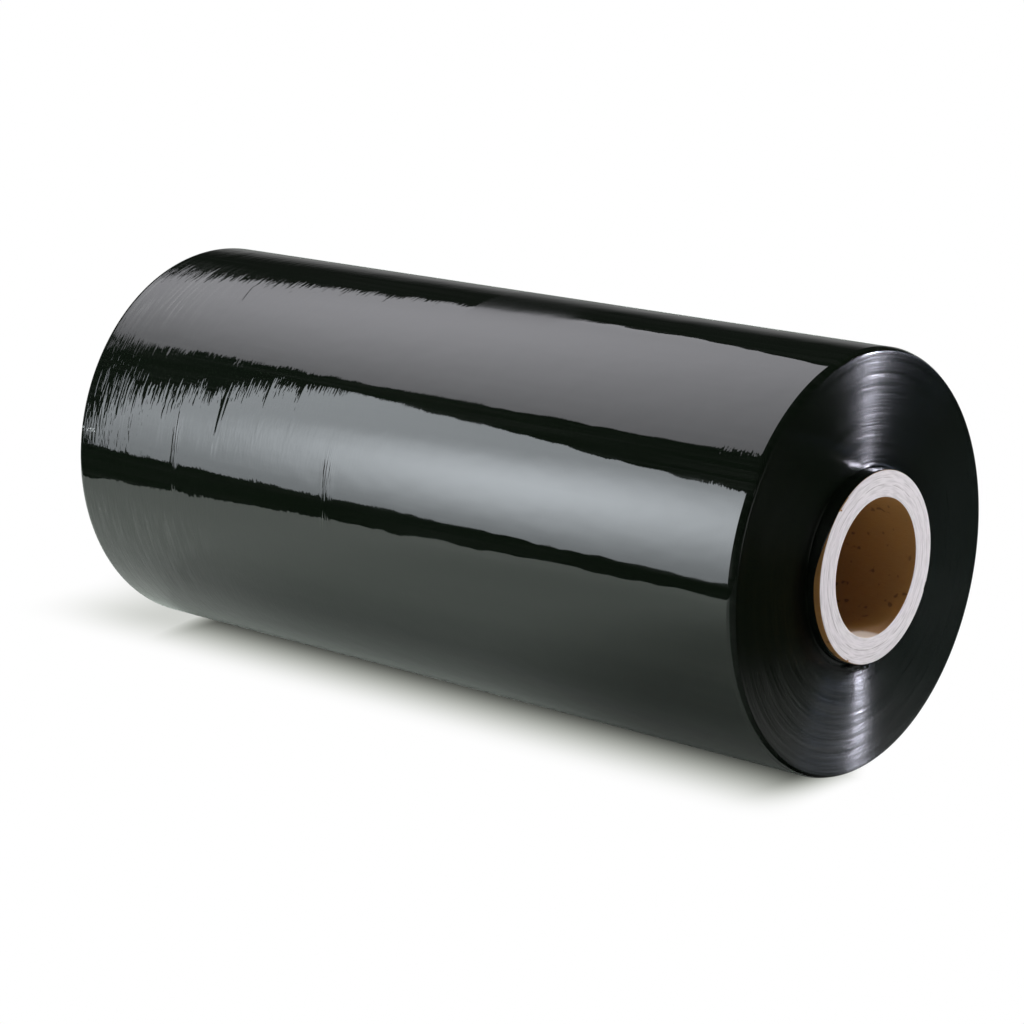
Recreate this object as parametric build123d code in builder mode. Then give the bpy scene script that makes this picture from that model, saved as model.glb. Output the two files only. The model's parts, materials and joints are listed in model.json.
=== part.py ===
from build123d import *
import math
import os

# Roll of machine stretch film on a paperboard core, lying along X on a small flat spot.
# Millimetres. The origin is on the floor, under the middle of the roll, and +Z is up.

# Wound film
film_width = 500.0
film_diameter = 237.5
flat_width = 24.0

# Winding core
core_bore = 77.0
core_wall = 15.0
core_overhang = 8.5
core_edge_chamfer = 0.7

# Rounded rims of the film: the near end, at +X, is the more rounded one
near_rim_length = 4.5
near_rim_drop = 2.0
far_rim_length = 3.0
far_rim_drop = 1.0

# The last few turns end just short of the near rim, and leave a low step and a narrow land there
last_turns_land = 0.5
last_turns_thickness = 0.35
last_turns_slope = 0.8

# The innermost turns reach further along the core than the rest, as a thin sleeve round it
sleeve_reach = 4.6
sleeve_thickness = 0.7

# Beyond it, each end face is a row of ridges and hollows where bands of turns lie out of line.
# Their places run from the sleeve (0) to the rim (1), each with its share of the deepest setback.
band_setback = 0.7
band_place_shares = (0.0, 0.08, 0.17, 0.26, 0.36, 0.46, 0.57, 0.68, 0.79, 0.9, 1.0)
band_depth_shares = (0.0, 0.7, 0.2, 0.8, 0.1, 0.9, 0.2, 0.6, 0.1, 0.7, 0.0)

# Shallow gathers that run round the film near its far end
gather_count = 6
gather_first = 12.0
gather_pitch = 14.0
gather_depth = 0.35

# Sizes that follow
film_radius = film_diameter / 2
core_inner_radius = core_bore / 2
core_radius = core_inner_radius + core_wall
core_length = film_width + 2 * core_overhang
axis_height = math.sqrt(film_radius**2 - (flat_width / 2) ** 2)

# The outlines lie in the upright plane through the roll's axis: X along the roll, Y the radius
outline_plane = Plane(origin=(0, 0, axis_height), x_dir=(1, 0, 0), z_dir=(0, -1, 0))
roll_axis = Axis((0, 0, axis_height), (1, 0, 0))


def end_face_points(side: int, rim_drop: float) -> list:
    """Corners of one end face, from the core out to the rim; side is 1 near and -1 far."""
    sleeve_end = film_width / 2 + sleeve_reach
    sleeve_radius = core_radius + sleeve_thickness
    sleeve = [
        (side * sleeve_end, core_radius),
        (side * (sleeve_end - sleeve_thickness), sleeve_radius),
    ]
    face_depth = film_radius - rim_drop - sleeve_radius
    bands = [
        (side * (film_width / 2 - band_setback * depth), sleeve_radius + face_depth * place)
        for place, depth in zip(band_place_shares, band_depth_shares)
    ]
    return sleeve + bands


def gather_points() -> list:
    """Corners of the gathers, from the far end towards the middle of the roll."""
    points = []
    for number in range(gather_count):
        start = -film_width / 2 + gather_first + number * gather_pitch
        points.append((start, film_radius))
        points.append((start + gather_pitch / 2, film_radius - gather_depth))
    points.append((start + gather_pitch, film_radius))
    return points


def last_turns_points() -> list:
    """Corners of the low step beside the near rim, from the middle of the roll towards the rim."""
    foot = film_width / 2 - near_rim_length - last_turns_land
    low = film_radius - last_turns_thickness
    return [(foot - last_turns_slope, film_radius), (foot, low)]


# All the turns of film are one solid, turned from one outline and flattened underneath
near_end = end_face_points(1, near_rim_drop + last_turns_thickness)
far_end = end_face_points(-1, far_rim_drop)
near_rim_start = (film_width / 2 - near_rim_length, film_radius - last_turns_thickness)
far_rim_start = (-film_width / 2 + far_rim_length, film_radius)

with BuildPart() as film_roll:
    with BuildSketch(outline_plane):
        with BuildLine():
            Polyline(*near_end)
            TangentArc(near_rim_start, near_end[-1], tangent=(1, 0))
            Polyline(far_rim_start, *gather_points(), *last_turns_points(), near_rim_start)
            TangentArc(far_rim_start, far_end[-1], tangent=(-1, 0))
            Polyline(*far_end)
            Line(far_end[0], near_end[0])
        make_face()
    revolve(axis=roll_axis)
    split(bisect_by=Plane.XY, keep=Keep.TOP)
film_roll.part.label = "film_roll"

# The core is a wound paperboard tube that stands out of the film at both ends
with BuildPart() as core_tube:
    with BuildSketch(outline_plane):
        with BuildLine():
            Polyline(
                (-core_length / 2, core_inner_radius),
                (core_length / 2, core_inner_radius),
                (core_length / 2, core_radius),
                (-core_length / 2, core_radius),
                close=True,
            )
        make_face()
    revolve(axis=roll_axis)
    chamfer(core_tube.edges().filter_by(GeomType.CIRCLE), core_edge_chamfer)
core_tube.part.label = "core_tube"

os.makedirs("parts", exist_ok=True)
export_step(film_roll.part, "parts/film_roll.step")
export_step(core_tube.part, "parts/core_tube.step")
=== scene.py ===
"""A machine roll of black stretch film on its paperboard core, lying on a white studio table."""
import json
import logging
import math
import random
from dataclasses import dataclass
from enum import Enum

import bpy
import numpy as np
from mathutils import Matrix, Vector


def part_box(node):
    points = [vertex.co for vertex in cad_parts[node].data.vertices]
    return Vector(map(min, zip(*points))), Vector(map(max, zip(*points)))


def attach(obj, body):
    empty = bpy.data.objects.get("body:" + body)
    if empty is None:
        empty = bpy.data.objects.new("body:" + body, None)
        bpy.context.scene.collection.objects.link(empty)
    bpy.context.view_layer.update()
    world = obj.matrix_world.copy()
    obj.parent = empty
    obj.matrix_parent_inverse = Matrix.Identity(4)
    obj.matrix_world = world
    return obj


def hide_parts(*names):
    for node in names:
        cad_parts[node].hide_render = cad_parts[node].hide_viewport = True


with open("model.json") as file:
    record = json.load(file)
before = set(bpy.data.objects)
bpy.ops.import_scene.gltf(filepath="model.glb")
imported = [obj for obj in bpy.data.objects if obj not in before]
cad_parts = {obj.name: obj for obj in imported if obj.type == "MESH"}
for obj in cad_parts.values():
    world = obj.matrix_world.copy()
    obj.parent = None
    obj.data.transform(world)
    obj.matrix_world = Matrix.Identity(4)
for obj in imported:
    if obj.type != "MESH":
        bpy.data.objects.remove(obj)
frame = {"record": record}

log = logging.getLogger("stretch_roll")
MM = 0.001
DEGREE = math.radians(1)
SLEEVE_REACH = 4.6 * MM
SAME_PLACE = 0.01 * MM
DOUBLES = 0.002 * MM

Socket = bpy.types.NodeSocket
Tree = bpy.types.NodeTree
Piece = bpy.types.Object

# What a Mix node is given to blend colours: its kind of data and its colour output
BLENDS_COLOURS = {"data_type": "RGBA", "output": 2}


# Colours and nodes

def linear(code: str) -> tuple:
    """Turns an sRGB hex colour into the linear colour that a socket holds.

    Args:
        code: the colour as "#rrggbb".

    Returns:
        Red, green, blue and a full alpha, linear.
    """
    shares = [int(code[i:i + 2], 16) / 255 for i in (1, 3, 5)]
    return (*[s / 12.92 if s <= 0.04045 else ((s + 0.055) / 1.055) ** 2.4 for s in shares], 1.0)


def in_metres(sizes_mm: tuple) -> tuple:
    """Turns millimetres into metres."""
    return tuple(size * MM for size in sizes_mm)


def add_node(tree: Tree, kind: str, *first: object, inputs: dict | None = None,
             output: int | str = 0, **settings: object) -> Socket | None:
    """Adds one node with its settings and its links.

    Args:
        tree: the node tree of a material or of the world.
        kind: the node's type name, without its ShaderNode prefix.
        first: values or sockets for the first inputs, in their order.
        inputs: values or sockets for other inputs, by name or number.
        output: the output to give back, by name or number.
        settings: the node's own settings.

    Returns:
        The output, or nothing for a node that has none.
    """
    node = tree.nodes.new("ShaderNode" + kind)
    for name, value in settings.items():
        setattr(node, name, value)
    for name, value in [*enumerate(first), *(inputs or {}).items()]:
        if isinstance(value, Socket):
            tree.links.new(value, node.inputs[name])
        else:
            node.inputs[name].default_value = value
    return node.outputs[output] if node.outputs else None


def new_material(name: str) -> tuple:
    """Makes a material with an empty node tree.

    Args:
        name: the material's name.

    Returns:
        The material and its tree.
    """
    material = bpy.data.materials.new(name)
    material.use_nodes = True
    material.node_tree.nodes.clear()
    return material, material.node_tree


@dataclass(frozen=True)
class Ramp:
    """A level that changes smoothly while a value goes from a start to an end, either way."""

    value: Socket
    start: float
    end: float
    low: float = 0.0
    high: float = 1.0


def join(tree: Tree, *parts: object, operation: str = "MULTIPLY") -> Socket:
    """Joins ramps, sockets and numbers into one level.

    Args:
        tree: the node tree.
        parts: the ramps, sockets and numbers, in order.
        operation: what is done with the level so far and the next part.

    Returns:
        The level.
    """
    total = None
    for part in parts:
        if isinstance(part, Ramp):
            part = add_node(tree, "MapRange", part.value, part.start, part.end, part.low, part.high,
                            interpolation_type="SMOOTHSTEP")
        total = part if total is None else add_node(tree, "Math", total, part, operation=operation)
    return total


# Sizes taken from the frame

@dataclass(frozen=True)
class RollSizes:
    """The roll's sizes in metres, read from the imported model.

    The film's box ends at the thin sleeve of inner turns that stands out of the end faces.
    """

    half_film: float
    film_radius: float
    half_core: float
    core_radius: float
    bore_radius: float
    axis_height: float

    @classmethod
    def from_frame(cls) -> "RollSizes":
        """Reads the sizes from the CAD nodes' boxes and from the bore mount.

        Returns:
            The sizes.
        """
        film_low, film_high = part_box("film_roll")
        core_low, core_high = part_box("core_tube")
        bore = next(m for m in frame["record"]["mounts"] if m["name"] == "bore")
        return cls(
            half_film=(film_high.x - film_low.x) / 2 - SLEEVE_REACH,
            film_radius=(film_high.y - film_low.y) / 2,
            half_core=(core_high.x - core_low.x) / 2,
            core_radius=(core_high.y - core_low.y) / 2,
            bore_radius=bore["dims"]["r_mm"] * MM,
            axis_height=bore["pos_m"][2],
        )


SIZES = RollSizes.from_frame()


# Modelling helpers

def deselect_all() -> None:
    """Leaves no object selected, the CAD nodes among them."""
    if bpy.context.object and bpy.context.object.mode != "OBJECT":
        bpy.ops.object.mode_set(mode="OBJECT")
    bpy.ops.object.select_all(action="DESELECT")


def clear_selection(kind: str) -> None:
    """Deselects the active mesh's elements, and leaves it in object mode.

    Args:
        kind: what is to be selected next, "VERT" or "EDGE".
    """
    bpy.ops.object.mode_set(mode="EDIT")
    bpy.ops.mesh.select_mode(type=kind)
    bpy.ops.mesh.select_all(action="DESELECT")
    bpy.ops.object.mode_set(mode="OBJECT")


def select_vertices(piece: Piece, chosen: np.ndarray) -> None:
    """Selects vertices, and leaves the piece in edit mode.

    Args:
        piece: the mesh object being modelled.
        chosen: a yes or no for each vertex.
    """
    clear_selection("VERT")
    piece.data.vertices.foreach_set("select", chosen.astype(bool))
    bpy.ops.object.mode_set(mode="EDIT")


def points_of(piece: Piece) -> np.ndarray:
    """Reads a mesh's vertices.

    Args:
        piece: the mesh object.

    Returns:
        Rows of x, y and z.
    """
    points = np.zeros(len(piece.data.vertices) * 3)
    piece.data.vertices.foreach_get("co", points)
    return points.reshape(-1, 3)


def set_points(piece: Piece, points: np.ndarray) -> None:
    """Writes rows of x, y and z back to a mesh's vertices."""
    piece.data.vertices.foreach_set("co", points.ravel())
    piece.data.update()


def around_roll(points: np.ndarray) -> tuple:
    """Gives each point's place round the roll's axis.

    Args:
        points: rows of x, y and z.

    Returns:
        The radius, and the angle in degrees from the top towards the front of the roll, at -Y.
    """
    up = points[:, 2] - SIZES.axis_height
    return np.hypot(points[:, 1], up), np.degrees(np.arctan2(-points[:, 1], up))


def push_out(points: np.ndarray, distance: np.ndarray) -> None:
    """Moves points straight out from the roll's axis.

    Args:
        points: rows of x, y and z, which are changed.
        distance: how far each point goes, below 0 towards the axis.
    """
    out = points - np.array([0, 0, SIZES.axis_height])
    out[:, 0] = 0
    radius, _ = around_roll(points)
    points += out / np.maximum(radius, MM)[:, None] * distance[:, None]


def soft_noise(across: np.ndarray, turn: np.ndarray, cell: float, cells_round: int,
               seed: int) -> np.ndarray:
    """Gives smooth random waves that join up round the roll.

    Args:
        across: each point's place along the roll or across its end.
        turn: each point's angle in degrees.
        cell: half a wave's length along the first direction.
        cells_round: how many half waves go round the roll.
        seed: which waves these are.

    Returns:
        A value between -1 and 1 for each point.
    """
    column = across / cell
    low = math.floor(column.min())
    columns = math.ceil(column.max()) - low + 3
    table = np.random.RandomState(seed).uniform(-1, 1, (columns, cells_round))
    row = (turn % 360) / 360 * cells_round
    i, j = np.floor(column).astype(int) - low, np.floor(row).astype(int) % cells_round
    u, v = column - np.floor(column), row - np.floor(row)
    u, v = u * u * (3 - 2 * u), v * v * (3 - 2 * v)
    j_next = (j + 1) % cells_round
    first = table[i, j] * (1 - u) + table[i + 1, j] * u
    second = table[i, j_next] * (1 - u) + table[i + 1, j_next] * u
    return first * (1 - v) + second * v


def ease(value: np.ndarray, start: float, end: float) -> np.ndarray:
    """Goes smoothly from 0 at the start to 1 at the end, which may lie either way round."""
    share = np.clip((value - start) / (end - start), 0, 1)
    return share * share * (3 - 2 * share)


def extend_tube(piece: Piece, stations: list) -> None:
    """Extrudes a tube's end ring through a row of stations.

    Args:
        piece: the tube.
        stations: (x, radius) of the end ring as it is, then of each ring to make.
    """
    select_vertices(piece, np.abs(points_of(piece)[:, 0] - stations[0][0]) < SAME_PLACE)
    for (x, radius), (next_x, next_radius) in zip(stations, stations[1:]):
        bpy.ops.mesh.extrude_region_move(TRANSFORM_OT_translate={"value": (next_x - x, 0, 0)})
        scale = next_radius / radius
        bpy.ops.transform.resize(
            value=(1, scale, scale), center_override=(next_x, 0, SIZES.axis_height))
    bpy.ops.object.mode_set(mode="OBJECT")


def start_tube(name: str, half_length: float, radius: float, around: int) -> Piece:
    """Adds an open cylinder along the roll's axis, with its place in its mesh.

    Args:
        name: the piece's name.
        half_length: half the tube's length.
        radius: the tube's radius.
        around: how many sides it has.

    Returns:
        The new mesh object, active and selected.
    """
    deselect_all()
    bpy.ops.mesh.primitive_cylinder_add(
        vertices=around, radius=radius, depth=2 * half_length, end_fill_type="NOTHING",
        location=(0, 0, SIZES.axis_height), rotation=(0, math.pi / 2, 0))
    piece = bpy.context.object
    piece.name = piece.data.name = name
    bpy.ops.object.transform_apply(location=True, rotation=True, scale=True)
    return piece


def bridge_bore(piece: Piece, bore: float) -> None:
    """Joins a tube's two innermost rings by a wall, which closes the piece.

    Args:
        piece: the tube.
        bore: the rings' radius.
    """
    radius, _ = around_roll(points_of(piece))
    select_vertices(piece, radius < bore + SAME_PLACE)
    bpy.ops.mesh.bridge_edge_loops()
    bpy.ops.object.mode_set(mode="OBJECT")


def close_and_smooth(piece: Piece, crease_angle: float) -> None:
    """Merges doubles, turns the faces outwards and shades the piece smooth.

    Args:
        piece: not used; the operators work on the active mesh object, in either mode.
        crease_angle: edges sharper than this many degrees stay sharp.
    """
    bpy.ops.object.mode_set(mode="EDIT")
    bpy.ops.mesh.select_all(action="SELECT")
    bpy.ops.mesh.remove_doubles(threshold=DOUBLES)
    bpy.ops.mesh.normals_make_consistent(inside=False)
    bpy.ops.object.mode_set(mode="OBJECT")
    bpy.ops.object.shade_smooth_by_angle(angle=crease_angle * DEGREE)


# Materials

@dataclass(frozen=True)
class RollPlace:
    """A surface point's place on the roll, as sockets of one material, in metres and radians.

    The turn starts at the top and grows towards the roll's front. The outward vector goes from
    the axis to the point, and the skin vector holds x, the arc length and the radius.
    """

    tree: Tree
    x: Socket
    turn: Socket
    radius: Socket
    outward: Socket
    unit: Socket
    skin: Socket

    @classmethod
    def add(cls, tree: Tree) -> "RollPlace":
        """Adds the nodes that work the place out.

        Args:
            tree: the material's tree.

        Returns:
            The place.
        """
        here = add_node(tree, "TexCoord", output="Object")
        from_axis = add_node(tree, "VectorMath", here, (0, 0, SIZES.axis_height), operation="SUBTRACT")
        parts = add_node(tree, "SeparateXYZ", from_axis).node.outputs
        front = add_node(tree, "Math", parts["Y"], -1.0, operation="MULTIPLY")
        turn = add_node(tree, "Math", front, parts["Z"], operation="ARCTAN2")
        outward = add_node(tree, "VectorMath", from_axis, (0, 1, 1), operation="MULTIPLY")
        radius = add_node(tree, "VectorMath", outward, operation="LENGTH", output="Value")
        unit = add_node(tree, "VectorMath", outward, operation="NORMALIZE")
        arc = add_node(tree, "Math", turn, SIZES.film_radius, operation="MULTIPLY")
        skin = add_node(tree, "CombineXYZ", parts["X"], arc, radius)
        return cls(tree, parts["X"], turn, radius, outward, unit, skin)

    def along(self, start_mm: float, end_mm: float, low: float = 0.0, high: float = 1.0) -> Ramp:
        """Gives a ramp along the roll, between two places in mm."""
        return Ramp(self.x, start_mm * MM, end_mm * MM, low, high)

    def around(self, start: float, end: float, low: float = 0.0, high: float = 1.0) -> Ramp:
        """Gives a ramp round the roll, between two turns in degrees."""
        return Ramp(self.turn, start * DEGREE, end * DEGREE, low, high)

    def stretch(self, start: float, full: float, wanes: float, end: float) -> tuple:
        """Gives the ramp into and the ramp out of a stretch of turn, in degrees."""
        return self.around(start, full), self.around(end, wanes)

    def rings(self, width_mm: float, drift: float, detail: float) -> Socket:
        """Adds a noise drawn out into rings round the axis.

        Args:
            width_mm: the rings' width.
            drift: how fast the rings change round the axis.
            detail: how many finer octaves the noise has.

        Returns:
            The noise's level.
        """
        ring = add_node(self.tree, "Math", self.radius, width_mm * MM, operation="DIVIDE")
        parts = add_node(self.tree, "SeparateXYZ", self.unit).node.outputs
        drifts = [add_node(self.tree, "Math", parts[axis], drift, operation="MULTIPLY")
                  for axis in "YZ"]
        vector = add_node(self.tree, "CombineXYZ", ring, *drifts)
        return add_node(self.tree, "TexNoise", vector, inputs={"Scale": 1.0, "Detail": detail})

    def noise(self, along_mm: float, around_mm: float, detail: float = 1.0) -> Socket:
        """Adds a noise over the roll's skin.

        Args:
            along_mm: the size of its cells along the roll.
            around_mm: their size round it.
            detail: how many finer octaves it has.

        Returns:
            The noise's level.
        """
        cells = (1 / (along_mm * MM), 1 / (around_mm * MM), 0)
        scaled = add_node(self.tree, "VectorMath", self.skin, cells, operation="MULTIPLY")
        return add_node(self.tree, "TexNoise", scaled, inputs={"Scale": 1.0, "Detail": detail},
                        noise_dimensions="2D")


@dataclass(frozen=True)
class Crease:
    """One thin crease pressed into the film, between two places in mm along and degrees round."""

    start: tuple
    end: tuple
    width_mm: float
    depth_mm: float

    def build(self, place: RollPlace, under: Socket) -> Socket:
        """Adds the crease to the surface's normal.

        Args:
            place: the place on the roll.
            under: the normal without the crease.

        Returns:
            The normal.
        """
        tree = place.tree
        ends = [Vector((x * MM, turn * DEGREE * SIZES.film_radius, 0))
                for x, turn in (self.start, self.end)]
        line = ends[1] - ends[0]
        along = line.normalized()
        across = Vector((-along.y, along.x, 0))
        away = add_node(tree, "VectorMath", place.skin, (ends[0] + ends[1]) / 2, operation="SUBTRACT")
        ramps = []
        for direction, reach in ((along, line.length / 2), (across, self.width_mm * MM)):
            part = add_node(tree, "VectorMath", away, direction, operation="DOT_PRODUCT", output="Value")
            size = add_node(tree, "Math", part, operation="ABSOLUTE")
            ramps.append(Ramp(size, 0.0, reach, 1.0, 0.0))
        return add_node(tree, "Bump", invert=True, inputs={
            "Strength": 1.0, "Distance": self.depth_mm * MM, "Height": join(tree, *ramps),
            "Normal": under})


@dataclass(frozen=True)
class FlatSpots:
    """The far end's loose turns: narrow flat spots, side by side, that keep facing one way over
    a stretch of turn, so that a reflection's edge hangs down over them in teeth.

    Places along the roll are in mm, turns and lengths of teeth in degrees, and the cells of a
    noise in mm along the roll and round it.
    """

    edge: float = 50.0
    band: float = 3.3
    end: float = 81.0
    longest: float = 21.0
    pitch_mm: float = 3.1
    lean: float = 0.9
    sway_cell: tuple = (9.0, 60.0)
    sway: float = 2.4
    tooth: tuple = (0.17, 0.42)
    luck_cell: tuple = (3.4, 70.0)
    luck: tuple = (0.34, 0.60, 0.15, 1.0)
    bases: tuple = ((-104.0, -140.0, 0.0, 2.0), (-220.0, -246.0, 0.0, 6.0))
    teeth: tuple = ((-96.0, -128.0, 0.0, 2.4), (-164.0, -174.0, 0.0, 8.0))
    crumble: tuple = (-210.0, -234.0, 0.0, 44.0)
    crumble_cell: tuple = (1.6, 20.0)
    crumble_calm: float = 0.46
    long_teeth: tuple = ((-134.6, 15.0, 1.4), (-131.4, 11.0, 1.2), (-102.2, 7.0, 0.8),
                         (-77.0, 4.5, 0.8), (-120.5, 2.5, 2.0), (-146.5, 3.5, 6.5))
    long_lean_mm: float = 2.0
    long_turn: float = 1.1
    long_tip_share: float = 0.3
    fringe_turns: tuple = (2.5, 16.5, 19.5, 30.5)
    fringe_reach: tuple = (0.0, -60.0)
    fringe_cell: tuple = (2.0, 40.0)
    fringe: tuple = (0.5, 0.72, 0.0, 2.6)
    nibble_turns: tuple = (45.0, 48.0, 57.0, 62.0)
    nibble_reach: tuple = (212.0, 222.0)
    nibble_cell: tuple = (1.2, 3.0)
    nibble_calm: float = 0.5
    nibble: float = 5.0

    def long_tooth(self, place: RollPlace, middle: float, length: float, half_width: float) -> Socket:
        """Adds one of the longest teeth.

        Args:
            place: the place on the roll.
            middle: where it stands along the roll.
            length: its length.
            half_width: half its width at the root, in mm.

        Returns:
            The length that it gives.
        """
        leant = add_node(place.tree, "Math", place.turn, self.long_lean_mm * MM, place.x,
                         operation="MULTIPLY_ADD")
        away = add_node(place.tree, "Math", leant, (middle + self.long_lean_mm * self.long_turn) * MM,
                        operation="SUBTRACT")
        size = add_node(place.tree, "Math", away, operation="ABSOLUTE")
        root, tip = half_width * MM, self.long_tip_share * half_width * MM
        return join(place.tree, Ramp(size, root, tip, 0.0, length))

    def length(self, place: RollPlace) -> Socket:
        """Adds the teeth's length at a place along the roll.

        Args:
            place: the place on the roll.

        Returns:
            The length.
        """
        tree = place.tree
        column = add_node(tree, "Math", place.x, self.pitch_mm * MM, operation="DIVIDE")
        leaning = add_node(tree, "Math", place.turn, self.lean, column, operation="MULTIPLY_ADD")
        swaying = add_node(tree, "Math", place.noise(*self.sway_cell), self.sway, leaning,
                           operation="MULTIPLY_ADD")
        comb = add_node(tree, "Math", swaying, 0.5, operation="PINGPONG")
        tooth = join(tree, Ramp(comb, *self.tooth), Ramp(place.noise(*self.luck_cell), *self.luck))
        ragged = add_node(tree, "Math", place.noise(*self.crumble_cell), self.crumble_calm,
                          operation="SUBTRACT")
        lengths = [place.along(*base) for base in self.bases]
        lengths += [join(tree, place.along(*teeth), tooth) for teeth in self.teeth]
        lengths.append(join(tree, place.along(*self.crumble), ragged))
        lengths += [self.long_tooth(place, *tooth) for tooth in self.long_teeth]
        total = join(tree, *lengths, operation="ADD")
        return join(tree, join(tree, total, 0.0, operation="MAXIMUM"), self.longest, operation="MINIMUM")

    def build(self, place: RollPlace, normal: Socket) -> Socket:
        """Turns the surface's normal over the flat spots.

        Args:
            place: the place on the roll.
            normal: the normal without them.

        Returns:
            The normal.
        """
        tree = place.tree
        turn = add_node(tree, "Math", place.turn, operation="DEGREES")
        length = self.length(place)
        below = add_node(tree, "Math", turn, self.edge, operation="SUBTRACT")
        above = add_node(tree, "Math", self.end, turn, operation="SUBTRACT")
        longer = join(tree, length, self.band, operation="ADD")
        rise = add_node(tree, "Math", length, longer, operation="DIVIDE")
        rest = add_node(tree, "Math", self.end - self.edge - self.band, length, operation="SUBTRACT")
        fall = add_node(tree, "Math", length, rest, operation="DIVIDE")
        held = join(tree, join(tree, below, rise), join(tree, above, fall), operation="MINIMUM")
        held = join(tree, held, 0.0, operation="MAXIMUM")
        fringe = join(tree, *place.stretch(*self.fringe_turns), place.along(*self.fringe_reach),
                      Ramp(place.noise(*self.fringe_cell), *self.fringe))
        bitten = add_node(tree, "Math", place.noise(*self.nibble_cell), self.nibble_calm,
                          operation="SUBTRACT")
        nibbles = join(tree, place.along(*self.nibble_reach), *place.stretch(*self.nibble_turns),
                       bitten, self.nibble)
        total = join(tree, held, fringe, nibbles, operation="ADD")
        slope = add_node(tree, "Math", add_node(tree, "Math", total, operation="RADIANS"),
                         operation="TANGENT")
        down = add_node(tree, "VectorMath", (-1, 0, 0), place.unit, operation="CROSS_PRODUCT")
        shift = add_node(tree, "VectorMath", down, inputs={"Scale": slope}, operation="SCALE")
        moved = add_node(tree, "VectorMath", normal, shift, operation="ADD")
        return add_node(tree, "VectorMath", moved, operation="NORMALIZE")


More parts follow.
